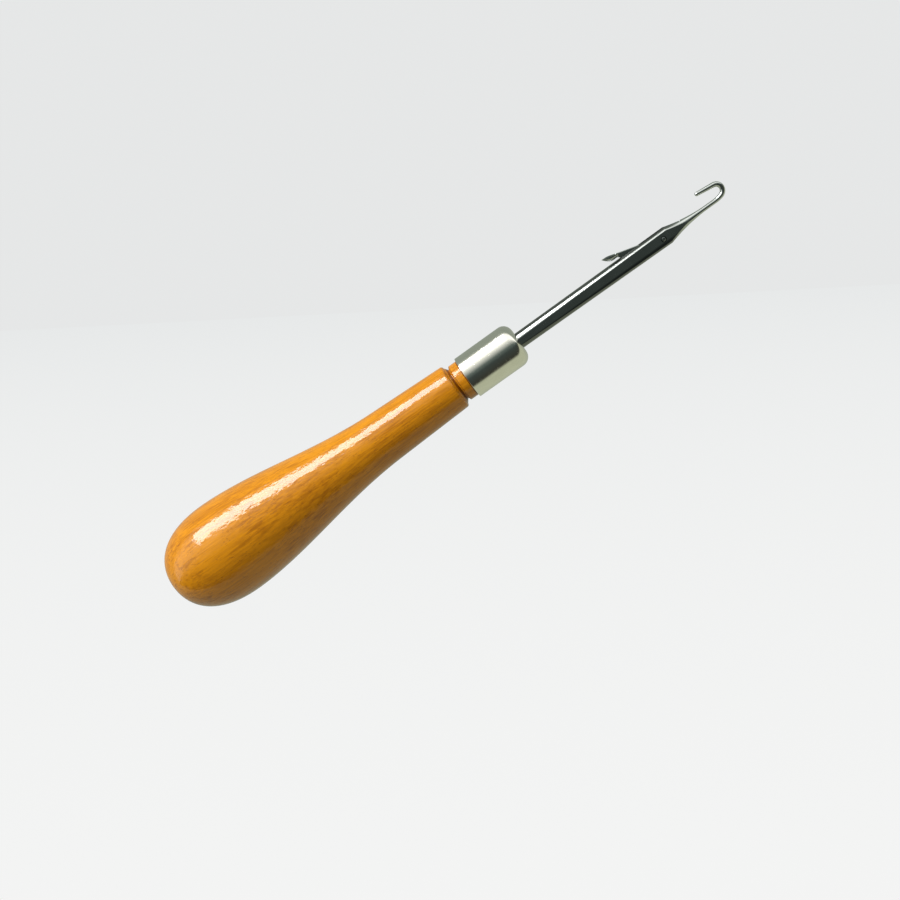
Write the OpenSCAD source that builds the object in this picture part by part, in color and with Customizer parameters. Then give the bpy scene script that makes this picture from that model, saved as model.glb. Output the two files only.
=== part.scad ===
// Latch hook for knotting yarn through a mesh: a turned wooden handle, a drawn metal ferrule, and a steel
// hook whose hinged latch lies back when open and swings forward to close over the hook's tip.
// The tool's axis lies along X. The hook is at the +X end and opens towards +Z, and the latch turns about Y.
// The origin is on the axis, halfway along the ferrule's straight barrel.

/* [Handle] */
// Length of the handle from the butt to the shoulder
grip_len = 86; // [76:0.5:110]
// Diameter at the fattest ring
belly_d = 25.1; // [20:0.1:32]
// Distance from the butt to the fattest ring
belly_back = 17; // [12:0.5:24]
// Length of the hollow flank between the fattest ring and the slim neck
flank_len = 48; // [42:0.5:58]
// How early the flank falls away from the fattest ring: 1 is even, less is earlier
flank_power = 0.85; // [0.75:0.05:1]
// Diameter of the neck at the shoulder
neck_d = 11.6; // [11.4:0.1:14]
// Angle at which the neck widens away from the shoulder, in degrees
neck_taper = 2.2; // [0:0.1:3]
// Roundness of the butt seen along the axis: 2 is an ellipse, more is fuller
butt_side_power = 2.3; // [2:0.1:3]
// Flatness of the butt's end: 2 is an ellipse, more is flatter
butt_end_power = 2.5; // [2:0.1:3]
// Radius of the shoulder's edge
shoulder_round = 0.6; // [0.2:0.1:0.9]

/* [Turned groove] */
// Length of the sloping face from the shoulder's edge down into the groove
groove_slope = 0.75; // [0.4:0.05:1.2]
// Width of the groove's bottom
groove_w = 0.15; // [0.1:0.05:0.4]
// Depth of the groove below the collar
groove_depth = 0.65; // [0.3:0.05:1.2]
// Length of the chamfer from the groove up to the collar
groove_chamfer = 0.35; // [0.2:0.05:0.6]
// Length of the bare collar between the groove and the ferrule
collar_len = 2.2; // [1:0.1:4]

/* [Ferrule] */
// Outer diameter of the barrel
ferrule_d = 11; // [10:0.1:12.5]
// Length from the mouth to the end of the nose
ferrule_len = 15.3; // [12:0.1:20]
// Thickness of the drawn sheet
ferrule_wall = 0.6; // [0.4:0.05:0.8]
// Outer radius of the rounded nose
nose_round = 2.5; // [1.5:0.1:3]
// Radius of the mouth's outer edge
mouth_round = 0.15; // [0.1:0.05:0.25]
// Radius of the edge that curls in around the shank
hole_round = 0.35; // [0.1:0.05:0.5]

/* [Shank] */
// Diameter of the round rod where it leaves the ferrule
rod_d = 4; // [3.6:0.1:4.4]
// Height of the pressed bar where the neck begins
bar_h = 4.4; // [4.1:0.1:5]
// Width across the two flats where the rod leaves the ferrule
root_w = 3.66; // [3.2:0.02:3.8]
// Width across the two flats where the neck begins
bar_w = 3.2; // [2.6:0.02:3.5]
// Distance from the ferrule's nose to the latch's pivot
shank_len = 41.2; // [32:0.1:60]
// Distance from the pivot to the start of the neck
cheek_len = 1.5; // [1:0.1:3]
// Length over which the flats fade into the round rod inside the ferrule
flat_fade = 6; // [3:0.5:10]

/* [Neck and hook] */
// Length of the neck, from the bar down to the wire
neck_len = 11; // [8:0.1:14]
// Hollowness of the neck: 1 is a straight cone, more is hollower
neck_power = 1.9; // [1.6:0.1:2.4]
// Length of the flats on the neck, where they run out into the round
neck_flat_len = 5.2; // [4:0.1:7]
// Diameter of the wire at the end of the neck
wire_d = 1.12; // [0.9:0.02:1.2]
// Straight wire between the neck and the bend
stem_len = 2.25; // [1:0.05:5]
// Diameter of the wire round the bend, where bending has thickened it
bend_d = 1.24; // [1.2:0.02:1.4]
// Radius of the gentle bend that leads into the hook
lead_bend_r = 7; // [4:0.1:10]
// Angle of the gentle bend, in degrees
lead_bend_deg = 16; // [8:1:24]
// Radius of the hook's own bend, to the middle of the wire
hook_bend_r = 1.6; // [1.4:0.05:2.2]
// Angle by which the hook's arm rises towards its tip, in degrees
arm_rise = 6.8; // [2:0.1:12]
// Straight length of the hook's arm
arm_len = 4.3; // [3.5:0.05:6]
// Diameter at the rounded tip
tip_d = 1; // [0.8:0.05:1.1]

/* [Latch] */
// Angle between the open latch and the shank, in degrees
open_deg = 15.1; // [13:0.1:20]
// Thickness of the blade
blade_t = 0.8; // [0.6:0.05:1]
// Height of the blade
blade_h = 1.3; // [1:0.05:1.5]
// Diameter of the eye around the rivet
eye_d = 1.8; // [1.6:0.05:2]
// Width of the spoon across its rims
spoon_w = 2.1; // [1.9:0.05:2.4]
// Wall of the spoon
spoon_wall = 0.28; // [0.2:0.02:0.36]
// Solid metal left at each end of the spoon's hollow
spoon_end_wall = 0.46; // [0.4:0.02:0.7]
// Fullness of the spoon's pointed end: 1 is a cone, 2 is a parabola
spoon_power = 1.9; // [1.6:0.1:2.2]
// Length of the spoon behind the hook's tip
spoon_rear = 1.9; // [1.6:0.05:2.4]
// Length of the spoon ahead of the hook's tip
spoon_front = 2.4; // [2:0.05:3]
// Height of the spoon's middle line above the blade's
spoon_lift = 0.42; // [0.3:0.02:0.5]
// Length of the level rims ahead of the hook's tip
rim_len = 0.8; // [0.4:0.1:1.2]
// Height of the rims above the blade's middle line
rim_h = 0.58; // [0.5:0.02:0.64]
// Height of the pointed end's top above the blade's middle line
point_h = 0.36; // [0.3:0.02:0.48]

/* [Rivet] */
// Diameter of the rivet
rivet_d = 0.8; // [0.6:0.05:0.9]
// Diameter of the closed ends of the rivet
rivet_head_d = 1.15; // [1:0.05:1.3]
// Depth of the closed ends of the rivet
rivet_head_h = 0.22; // [0.15:0.01:0.3]
// How far the closed ends lie below the cheeks
rivet_sink = 0.04; // [0.02:0.01:0.08]

/* [Tang] */
// How far the rod runs into the wood behind the ferrule's mouth
tang_len = 30; // [22:0.5:45]
// Length of the tang's point
tang_point = 3; // [2:0.5:5]
// Plain rod between the point and the ears
ear_back = 2; // [1:0.5:5]
// Width across the two ears that stop the rod turning
ear_w = 5.4; // [4.8:0.1:6.4]
// Thickness of the ears
ear_t = 1; // [0.8:0.1:1.4]
// Length of the ears
ear_len = 6; // [4:0.5:9]

/* [Fits] */
// Gap all round between the tenon and the ferrule
ferrule_fit = 0.03; // [0.02:0.01:0.06]
// Gap between the end of the tenon and the ferrule's nose
tenon_end_gap = 0.3; // [0.2:0.05:0.6]
// Gap all round between the rod and the ferrule's hole
rod_fit = 0.05; // [0.03:0.01:0.1]
// Gap all round between the tang and the handle
tang_fit = 0.02; // [0.01:0.01:0.05]
// Gap all round between the rivet and the cheeks
rivet_fit = 0.01; // [0.01:0.005:0.02]
// Gap all round between the rivet and the latch's eye
pivot_fit = 0.04; // [0.02:0.01:0.08]
// Gap between each side of the blade and the slot
slot_side_gap = 0.08; // [0.05:0.01:0.15]
// Gap between the eye and the slot's floor
slot_floor_gap = 0.2; // [0.1:0.05:0.4]
// How much steeper than the open latch the slot's rear ramp is, in degrees
ramp_extra_deg = 3; // [1:0.5:5]
// Gap between the open latch and the slot's rear lip
rest_gap = 0.02; // [0.01:0.005:0.05]
// Gap between the hook's tip and the floor of the closed latch's spoon, whose rims land on the arm first
close_gap = 0.12; // [0.1:0.01:0.2]

/* [Hidden] */

$fn = 96;
profile_steps = 24;
neck_steps = 12;
shoulder_steps = 6;
spoon_steps = 10;
wire_sides = 20;
lead_steps = 4;
bend_steps = 18;
tip_steps = 5;
tip_last_deg = 75;
wire_lap = 0.3;
lap_swell = 1.03;
spill = 0.5;

// Places along the axis, from the butt to the hook
barrel_len = ferrule_len - nose_round;
mouth_x = -barrel_len / 2;
nose_x = mouth_x + ferrule_len;
shoulder_x = mouth_x - collar_len - groove_chamfer - groove_w - groove_slope;
butt_x = shoulder_x - grip_len;
belly_x = butt_x + belly_back;
pivot_x = nose_x + shank_len;
neck_x = pivot_x + cheek_len;
stem_x = neck_x + neck_len;
bend_x = stem_x + stem_len;
tang_x = mouth_x - tang_len;
ear_x = tang_x + tang_point + ear_back;

// Radii that follow from the sizes above
tenon_r = ferrule_d / 2 - ferrule_wall - ferrule_fit;
tenon_end_x = nose_x - ferrule_wall - tenon_end_gap;
tenon_chamfer = nose_round - ferrule_wall;
wire_r = wire_d / 2;
eye_r = eye_d / 2;
slot_w = blade_t + 2 * slot_side_gap;
pivot_w = flat_w(pivot_x);

// The hook's tip, worked out along the bent wire
lead_end = [bend_x + lead_bend_r * sin(lead_bend_deg), lead_bend_r * (1 - cos(lead_bend_deg))];
hook_centre = lead_end + hook_bend_r * [-sin(lead_bend_deg), cos(lead_bend_deg)];
hook_turn = 180 - arm_rise - lead_bend_deg;
arm_start = hook_centre + hook_bend_r * [sin(arm_rise), cos(arm_rise)];
arm_dir = [-cos(arm_rise), sin(arm_rise)];
tip = arm_start + arm_len * arm_dir;

// Rings of the bent wire: each is [place, heading, radius]
wire_rings = concat(
    [[[bend_x - wire_lap, 0], 0, wire_r * lap_swell]],
    [for (i = [0:lead_steps])
        let (s = i / lead_steps, a = lead_bend_deg * s)
        [[bend_x + lead_bend_r * sin(a), lead_bend_r * (1 - cos(a))], a,
            wire_r * lap_swell * (1 - s) + bend_d / 2 * s]],
    [for (i = [1:bend_steps])
        let (a = lead_bend_deg + hook_turn * i / bend_steps)
        [hook_centre + hook_bend_r * [sin(a), -cos(a)], a, bend_d / 2]],
    [for (i = [0:tip_steps])
        let (a = tip_last_deg * i / tip_steps)
        [tip + tip_d / 2 * sin(a) * arm_dir, 180 - arm_rise, tip_d / 2 * cos(a)]]
);
wire_end = tip + tip_d / 2 * arm_dir;

// The closed latch: its spoon's floor lies on the tip, so the tip sits a little to the blade's inner side
tip_reach = norm(tip - [pivot_x, 0]);
tip_offset = spoon_lift - spoon_w / 2 + spoon_wall + tip_d / 2 + close_gap;
seat = sqrt(tip_reach * tip_reach - tip_offset * tip_offset);
closed_deg = atan2(tip[1], tip[0] - pivot_x) + asin(tip_offset / tip_reach);

// Radius of the shank's top and bottom, which grows evenly as the rod is pressed flatter
function bar_r(x) = rod_d / 2 + (bar_h - rod_d) / 2 * (x - nose_x) / (neck_x - nose_x);

// Width across the shank's flats
function flat_w(x) = root_w + (bar_w - root_w) * (x - nose_x) / (neck_x - nose_x);

// Radius of the neck, which falls in a hollow curve from the bar to the wire
function neck_r(t) = wire_r + (bar_h / 2 - wire_r) * pow(1 - t, neck_power);

// Radius of the handle's slim neck, which widens evenly away from the shoulder
function slim_r(x) = neck_d / 2 + (shoulder_x - x) * tan(neck_taper);

// Share of the way from the fattest ring to the slim neck, eased at both ends
function flank_share(x) = (1 - cos(180 * pow(min(1, (x - belly_x) / flank_len), flank_power))) / 2;

// Radius of the handle ahead of the fattest ring
function grip_r(x) = belly_d / 2 * (1 - flank_share(x)) + slim_r(x) * flank_share(x);

// Outline of the butt: a fuller ellipse from the middle of the end to the fattest ring
butt_points = [
    for (i = [0:profile_steps])
        let (a = 90 * i / profile_steps)
        [belly_x - belly_back * pow(cos(a), 2 / butt_side_power), belly_d / 2 * pow(sin(a), 2 / butt_end_power)]
];

// Outline from the fattest ring to the start of the shoulder's rounded edge
grip_points = [
    for (i = [1:2 * profile_steps])
        let (x = belly_x + (shoulder_x - shoulder_round - belly_x) * i / (2 * profile_steps))
        [x, grip_r(x)]
];

// Rounded edge of the shoulder
edge_r = grip_r(shoulder_x - shoulder_round);
shoulder_points = [
    for (i = [1:shoulder_steps])
        let (a = 90 * i / shoulder_steps)
        [shoulder_x - shoulder_round * (1 - sin(a)), edge_r - shoulder_round * (1 - cos(a))]
];

// Groove, collar and tenon
groove_r = tenon_r - groove_depth;
joint_points = [
    [shoulder_x + groove_slope, groove_r],
    [shoulder_x + groove_slope + groove_w, groove_r],
    [mouth_x - collar_len, tenon_r],
    [tenon_end_x - tenon_chamfer, tenon_r],
    [tenon_end_x, tenon_r - tenon_chamfer],
    [tenon_end_x, 0]
];

// Outline of the rod from the tang's point to the end of the straight wire
rod_points = concat(
    [
        [tang_x, 0],
        [tang_x + tang_point, rod_d / 2],
        [nose_x, rod_d / 2]
    ],
    [for (i = [0:neck_steps]) [neck_x + neck_len * i / neck_steps, neck_r(i / neck_steps)]],
    [
        [bend_x, wire_r],
        [bend_x, 0]
    ]
);

// Outline seen from above, which presses the flats onto the rod and the neck
flats_half = [
    [tang_x - spill, rod_d],
    [nose_x - flat_fade, rod_d],
    [nose_x - flat_fade, rod_d / 2],
    [nose_x, root_w / 2],
    [neck_x, bar_w / 2],
    [neck_x + neck_flat_len, neck_r(neck_flat_len / neck_len)],
    [neck_x + neck_flat_len, rod_d],
    [bend_x + spill, rod_d]
];

// Slot, seen from the side: a round floor under the eye, with a ramp up to the rear lip and one up to the front
floor_r = eye_r + slot_floor_gap;
rest_drop = blade_h / 2 + rest_gap;
lip_x = (pivot_x * tan(open_deg) - rest_drop / cos(open_deg) - bar_r(0)) / (tan(open_deg) + bar_r(1) - bar_r(0));
front_drop = (blade_h / 2 + slot_floor_gap) / cos(closed_deg);
front_x = pivot_x + (bar_h / 2 + front_drop) / tan(closed_deg);
slot_top = bar_h / 2 + spill;
ramp_deg = open_deg + ramp_extra_deg;
slot_points = [
    [lip_x, slot_top],
    [lip_x, bar_r(lip_x)],
    [pivot_x - floor_r * sin(ramp_deg), -floor_r * cos(ramp_deg)],
    [pivot_x, -front_drop],
    [front_x, bar_h / 2],
    [front_x, slot_top]
];

// Outlines of the latch, measured from the rivet along the blade
spoon_x0 = seat - spoon_rear;
spoon_x1 = seat + spoon_front;
spoon_r0 = blade_h / 2;
function spoon_r(s, full) = full * (1 - pow(s, spoon_power));
function swell(s) = (1 - cos(180 * s)) / 2;
spoon_outer = concat(
    [[spoon_x0, 0]],
    [for (i = [0:spoon_steps])
        let (s = i / spoon_steps)
        [spoon_x0 + spoon_rear * s, spoon_r0 + (spoon_w / 2 - spoon_r0) * swell(s)]],
    [for (i = [1:spoon_steps])
        let (s = i / spoon_steps)
        [seat + spoon_front * s, spoon_r(s, spoon_w / 2)]]
);
cup_r = spoon_w / 2 - spoon_wall;
cup_rear = spoon_rear - spoon_end_wall;
cup_front = spoon_front - spoon_end_wall;
cup_points = concat(
    [for (i = [0:spoon_steps])
        let (s = i / spoon_steps)
        [seat - cup_rear * (1 - s), cup_r * sqrt(1 - pow(1 - s, 2))]],
    [for (i = [1:spoon_steps])
        let (s = i / spoon_steps)
        [seat + cup_front * s, spoon_r(s, cup_r)]]
);
latch_side = [
    [-eye_d, -spoon_w],
    [spoon_x1 + spill, -spoon_w],
    [spoon_x1 + spill, point_h],
    [spoon_x1, point_h],
    [seat + rim_len, rim_h],
    [spoon_x0 + spoon_wall, rim_h],
    [spoon_x0 - spoon_wall, eye_d],
    [-eye_d, eye_d]
];

// Turns an outline of [distance along X, radius] into a solid of revolution about X
module turned(points) {
    rotate([90, 0, 90])
        rotate_extrude()
            polygon([for (p = points) [p[1], p[0]]]);
}

// Draws an outline of [x, z] as a plate of the given thickness, centred on the tool's middle plane
module side_plate(thickness) {
    rotate([90, 0, 0])
        linear_extrude(thickness, center = true)
            children();
}

// Skin over the rings of the bent wire, closed by a flat start and a pointed pole at the tip
module bent_wire() {
    n = wire_sides;
    last = len(wire_rings) - 1;
    points = concat(
        [for (ring = wire_rings, j = [0:n - 1])
            let (a = 360 * j / n, up = ring[2] * cos(a), side = ring[2] * sin(a))
            [ring[0][0] - up * sin(ring[1]), side, ring[0][1] + up * cos(ring[1])]],
        [[wire_end[0], 0, wire_end[1]]]
    );
    skin = [for (i = [0:last - 1], j = [0:n - 1])
        let (a = i * n + j, b = i * n + (j + 1) % n)
        each [[a, b, a + n], [b, b + n, a + n]]];
    start = [[for (j = [n - 1:-1:0]) j]];
    end = [for (j = [0:n - 1]) [last * n + j, last * n + (j + 1) % n, (last + 1) * n]];
    polyhedron(points, concat(start, skin, end));
}

module handle() {
    color("#c98a22")
        difference() {
            turned(concat(butt_points, grip_points, shoulder_points, joint_points));
            turned([
                [tang_x - tang_fit, 0],
                [tang_x + tang_point - tang_fit, rod_d / 2 + tang_fit],
                [tenon_end_x + spill, rod_d / 2 + tang_fit],
                [tenon_end_x + spill, 0]
            ]);
            ear_groove();
        }
}

// The grooves that the ears cut in the wood on their way in
module ear_groove() {
    groove_x = ear_x - tang_fit;
    translate([groove_x, -(ear_w / 2 + tang_fit), -(ear_t / 2 + tang_fit)])
        cube([tenon_end_x + spill - groove_x, ear_w + 2 * tang_fit, ear_t + 2 * tang_fit]);
}

module ferrule() {
    color("#c9c8c0")
        rotate([90, 0, 90])
            rotate_extrude()
                difference() {
                    cap_outline(ferrule_d / 2, nose_x, nose_round, mouth_x);
                    cap_outline(ferrule_d / 2 - ferrule_wall, nose_x - ferrule_wall, nose_round - ferrule_wall,
                        mouth_x - spill);
                    translate([0, mouth_x])
                        square([rod_d / 2 + rod_fit, ferrule_len + spill]);
                    corner_cut([ferrule_d / 2, mouth_x], mouth_round, [-1, 1]);
                    corner_cut([rod_d / 2 + rod_fit, nose_x], hole_round, [1, -1]);
                }
}

// Half section of a round-nosed cap: radius to the right, distance along the axis upwards
module cap_outline(r, end_x, round_r, start_x) {
    translate([0, start_x])
        square([r, end_x - round_r - start_x]);
    translate([0, start_x])
        square([r - round_r, end_x - start_x]);
    translate([r - round_r, end_x - round_r])
        circle(r = round_r);
}

// What a rounded edge takes off a square corner, with the metal on the given side of it
module corner_cut(corner, round_r, side) {
    translate(corner)
        mirror([side[0] < 0 ? 1 : 0, 0])
            mirror([0, side[1] < 0 ? 1 : 0])
                difference() {
                    translate([-spill, -spill])
                        square(round_r + spill);
                    translate([round_r, round_r])
                        circle(r = round_r);
                }
}

module hook() {
    color("#8f9493")
        difference() {
            union() {
                intersection() {
                    turned(rod_points);
                    linear_extrude(bar_h + 2 * spill, center = true)
                        polygon(concat(flats_half, [for (i = [len(flats_half) - 1:-1:0])
                            [flats_half[i][0], -flats_half[i][1]]]));
                }
                bent_wire();
                tang_ears();
            }
            side_plate(slot_w) {
                polygon(slot_points);
                translate([pivot_x, 0])
                    circle(r = floor_r);
            }
            rivet_hole(rivet_fit);
        }
}

// The ears near the tang's point
module tang_ears() {
    translate([ear_x, -ear_w / 2, -ear_t / 2])
        cube([ear_len, ear_w, ear_t]);
}

// The rivet's shape, opened out by the given gap
module rivet_hole(gap) {
    translate([pivot_x, 0, 0])
        rotate([90, 0, 0]) {
            cylinder(h = pivot_w + spill, d = rivet_d + 2 * gap, center = true);
            for (side = [0, 180])
                rotate([side, 0, 0])
                    translate([0, 0, pivot_w / 2 - rivet_sink - rivet_head_h])
                        countersink(gap);
        }
}

// One countersunk seat in a cheek
module countersink(gap) {
    cylinder(h = rivet_head_h, d1 = rivet_d + 2 * gap, d2 = rivet_head_d + 2 * gap);
    translate([0, 0, rivet_head_h])
        cylinder(h = spill, d = rivet_head_d + 2 * gap);
}

module latch() {
    color("#a3a8a6")
        translate([pivot_x, 0, 0])
            rotate([0, open_deg, 0])
                rotate([0, 0, 180])
                    level_latch();
}

// The latch in its own frame: the rivet at the origin, the blade along +X and the spoon's hollow towards +Z
module level_latch() {
    difference() {
        intersection() {
            union() {
                blade();
                translate([0, 0, spoon_lift])
                    turned(spoon_outer);
            }
            side_plate(spoon_w + 2 * spill)
                polygon(latch_side);
        }
        translate([0, 0, spoon_lift]) {
            turned(cup_points);
            cup_mouth();
        }
        rotate([90, 0, 0])
            cylinder(h = blade_t + 2 * spill, d = rivet_d + 2 * pivot_fit, center = true);
    }
}

// The flat blade with its eye
module blade() {
    side_plate(blade_t) {
        circle(r = eye_r);
        translate([0, -blade_h / 2])
            square([spoon_x0 + spoon_wall, blade_h]);
    }
}

// Opens the spoon's hollow upwards at its full width
module cup_mouth() {
    linear_extrude(spoon_w)
        polygon(concat(
            [for (p = cup_points) p],
            [for (i = [len(cup_points) - 1:-1:0]) [cup_points[i][0], -cup_points[i][1]]]
        ));
}

module latch_rivet() {
    color("#7d8281")
        translate([pivot_x, 0, 0])
            rotate([90, 0, 0]) {
                cylinder(h = pivot_w - 2 * rivet_sink, d = rivet_d, center = true);
                for (side = [0, 180])
                    rotate([side, 0, 0])
                        translate([0, 0, pivot_w / 2 - rivet_sink - rivet_head_h])
                            cylinder(h = rivet_head_h, d1 = rivet_d, d2 = rivet_head_d);
            }
}

handle();
ferrule();
hook();
latch();
latch_rivet();
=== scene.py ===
# %% [markdown]
# # A latch hook
#
# A latch hook knots short strands of yarn through a mesh. It is a turned wooden handle, a drawn metal
# ferrule and one steel rod that ends in a small hook, with a latch that swings over the hook's tip. This
# lesson dresses the measured model of the tool: each piece is worked out as a numpy surface in the tool's
# own frame and then painted.
#
# The tool's axis is X, with the hook at the far end of +X. The hook opens towards +Z. Sizes are in
# millimetres here and become metres when a mesh is made.

# %% Load the measured model
import math

import bpy
import numpy as np
from mathutils import Matrix, Vector


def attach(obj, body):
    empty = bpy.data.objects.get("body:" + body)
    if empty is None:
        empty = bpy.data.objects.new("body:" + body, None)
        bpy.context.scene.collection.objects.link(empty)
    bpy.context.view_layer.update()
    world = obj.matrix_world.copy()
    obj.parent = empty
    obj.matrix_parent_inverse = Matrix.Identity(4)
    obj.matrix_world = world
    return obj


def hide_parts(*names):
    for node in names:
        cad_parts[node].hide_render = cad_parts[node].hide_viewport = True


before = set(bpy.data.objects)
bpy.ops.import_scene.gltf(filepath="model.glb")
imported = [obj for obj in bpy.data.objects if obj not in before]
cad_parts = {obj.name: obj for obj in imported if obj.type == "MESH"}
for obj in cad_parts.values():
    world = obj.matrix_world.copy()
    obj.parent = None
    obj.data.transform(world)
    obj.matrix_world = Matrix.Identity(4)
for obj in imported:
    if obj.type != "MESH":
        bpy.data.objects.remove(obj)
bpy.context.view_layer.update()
MM = 0.001

# %% [markdown]
# ## From a grid to a mesh
#
# Most pieces here are rings threaded on a line, such as the rings of a turned handle. They could be made
# with modifiers or by hand, but a grid of points with a row for each ring says the shape in one formula.
# These helpers join the rings into faces, turn the faces outwards by the sign of the volume, and hang the
# mesh on its body.

# %% Join rings into faces
def faces_of(rows, cols, loop):
    """Faces of a grid of closed rings, joined ring to ring. A loop also joins the last ring to the first.
    Otherwise each end is a fan of triangles to a pole, and the two poles come after the grid's own
    points."""
    count = rows if loop else rows - 1
    i, j = np.meshgrid(np.arange(count), np.arange(cols), indexing="ij")
    after, beside = (i + 1) % rows, (j + 1) % cols
    quads = np.stack([i * cols + j, i * cols + beside, after * cols + beside, after * cols + j], axis=-1)
    if loop:
        return quads.reshape(-1, 4), np.empty((0, 3), dtype=int)
    edge = np.arange(cols)
    turned = (edge + 1) % cols
    first, last, end = rows * cols, rows * cols + 1, (rows - 1) * cols
    start_fan = np.stack([np.full(cols, first), turned, edge], axis=-1)
    end_fan = np.stack([np.full(cols, last), end + edge, end + turned], axis=-1)
    return quads.reshape(-1, 4), np.vstack([start_fan, end_fan])


def volume_of(points, quads, fans):
    """Signed volume: the sum over triangles of their corners' triple product, divided by six."""
    corners = np.vstack([quads[:, [0, 1, 2]], quads[:, [0, 2, 3]], fans])
    a, b, c = (points[corners[:, k]] for k in range(3))
    return float(np.einsum("ij,ij->i", a, np.cross(b, c)).sum() / 6)


def skin(grid, loop=False):
    """Points and faces of a grid of rings in mm, turned so that the faces point outwards. The poles of an
    open grid are the middles of its end rings."""
    points = grid.reshape(-1, 3)
    if not loop:
        points = np.vstack([points, grid[0].mean(axis=0), grid[-1].mean(axis=0)])
    quads, fans = faces_of(*grid.shape[:2], loop)
    if volume_of(points, quads, fans) < 0:
        quads, fans = quads[:, ::-1], fans[:, ::-1]
    return points, quads, fans


# %% Hang a mesh on its body
def make_piece(name, shells, body, replaced, sharp_deg=35):
    """One object from several closed shells, which stands for a node of the model and rides on a body."""
    points = np.vstack([shell[0] for shell in shells])
    faces, start, volume = [], 0, 0.0
    for own, quads, fans in shells:
        faces += (quads + start).tolist() + (fans + start).tolist()
        start += len(own)
        volume += volume_of(own, quads, fans)
    mesh = bpy.data.meshes.new(name)
    mesh.from_pydata((points * MM).tolist(), [], faces)
    mesh.shade_smooth()
    mesh.set_sharp_from_angle(angle=math.radians(sharp_deg))
    piece = bpy.data.objects.new(name, mesh)
    bpy.context.scene.collection.objects.link(piece)
    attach(piece, body)
    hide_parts(replaced)
    size = np.round(points.max(axis=0) - points.min(axis=0), 2)
    print(f"{name}: {len(faces)} faces, {size.tolist()} mm, {volume:.1f} mm3")
    return piece


# %% [markdown]
# ## The camera
#
# The photograph looks down a little on the tool, which points up to the right and leans a little towards
# the viewer. A camera could be set by eye, but then no outline would agree. Three angles give the tool's
# axes as the camera sees them, one point gives its origin, and the camera's place is the reverse of that.

# %% Place the camera
LENS_MM, SENSOR_MM, PICTURE = 40.0, 36.0, 900
FOCAL_PX = LENS_MM / SENSOR_MM * PICTURE
RISE_DEG, LEAN_DEG, OVER_DEG = 35.22, 6.0, 12.0
ORIGIN_PX = (488.93, 362.31)
PX_PER_MM = 4.139
NEAR_CLIP_M, FAR_CLIP_M = 0.01, 20


def tool_in_camera():
    """The tool's X, Y and Z axes as columns, and its origin in mm, as the camera sees them. X is given by
    its rise and lean. Z is square to X, and tips over towards the camera from the line square to the
    sight line."""
    rise, lean, over = (math.radians(a) for a in (RISE_DEG, LEAN_DEG, OVER_DEG))
    along = np.array([math.cos(lean) * math.cos(rise), math.cos(lean) * math.sin(rise), math.sin(lean)])
    middle = PICTURE / 2
    ray = np.array([(ORIGIN_PX[0] - middle) / FOCAL_PX, -(ORIGIN_PX[1] - middle) / FOCAL_PX, -1.0])
    across = np.cross(along, ray)
    across /= np.linalg.norm(across)
    across *= np.sign(across[1])
    towards = np.cross(along, across)
    towards *= np.sign(towards[2])
    up = math.cos(over) * across + math.sin(over) * towards
    return np.stack([along, np.cross(up, along), up], axis=1), ray * FOCAL_PX / PX_PER_MM


axes, origin = tool_in_camera()
place = Matrix(axes.T.tolist()).to_4x4()
place.translation = Vector((-axes.T @ origin * MM).tolist())
camera = bpy.data.objects.new("camera", bpy.data.cameras.new("camera"))
camera.data.lens, camera.data.sensor_width = LENS_MM, SENSOR_MM
camera.data.clip_start, camera.data.clip_end = NEAR_CLIP_M, FAR_CLIP_M
camera.matrix_world = place
bpy.context.scene.collection.objects.link(camera)
bpy.context.scene.camera = camera
eye = np.array(place.translation) / MM
print("the camera in mm:", np.round(eye, 1).tolist())

# %% [markdown]
# ## Which way is up
#
# The tool is held in the air, so the room's upright isn't the tool's own. It is found from the camera:
# the table's far edge lies a little above the middle of the picture and slopes a little, which gives the
# camera's pitch and roll.

# %% Find the room's upright
PITCH_DEG, ROLL_DEG = 20.0, -3.0
pitch, roll = math.radians(PITCH_DEG), math.radians(ROLL_DEG)
up_seen = np.array([math.sin(roll) * math.cos(pitch), math.cos(roll) * math.cos(pitch), math.sin(pitch)])
room_up = axes.T @ up_seen
room_ahead = axes.T @ np.array([0.0, 0.0, -1.0])
room_ahead -= room_up * (room_ahead @ room_up)
room_ahead /= np.linalg.norm(room_ahead)
room_side = np.cross(room_ahead, room_up)
print("up in the tool's frame:", np.round(room_up, 3).tolist())

# %% [markdown]
# ## Nodes in few words
#
# Light and paint are both trees of nodes. A tree could be drawn by hand in the editor, but one written as
# short calls can be read and changed, so these helpers add a node and wire it in one line.

# %% Small helpers for node trees
def plug(tree, socket, value):
    """Links another node's output to a socket, or sets the socket to a number or colour."""
    if isinstance(value, bpy.types.NodeSocket):
        tree.links.new(value, socket)
    else:
        socket.default_value = value


def add(tree, kind, **inputs):
    """One node. An input is given by its name, with _ for a space, or by i and its number."""
    made = tree.nodes.new(kind)
    for name, value in inputs.items():
        by_number = name[1:].isdigit()
        plug(tree, made.inputs[int(name[1:]) if by_number else name.replace("_", " ")], value)
    return made


def calculate(tree, operation, a, b=0.0):
    """A Math node's result."""
    made = add(tree, "ShaderNodeMath", i0=a, i1=b)
    made.operation = operation
    return made.outputs[0]


def blend(tree, share, first, second):
    """Two colours mixed by a share from 0 to 1. A Mix node's colour sockets are its seventh and
    eighth."""
    made = add(tree, "ShaderNodeMix")
    made.data_type = "RGBA"
    for number, value in ((0, share), (6, first), (7, second)):
        plug(tree, made.inputs[number], value)
    return made.outputs[2]


def ramp(tree, share, stops):
    """A colour ramp with the given stops of place and colour."""
    made = add(tree, "ShaderNodeValToRGB", Fac=share)
    elements = made.color_ramp.elements
    for k, (spot, colour) in enumerate(stops):
        element = elements[k] if k < 2 else elements.new(spot)
        element.position = spot
        element.color = (*colour, 1.0)
    return made.outputs[0]


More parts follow.
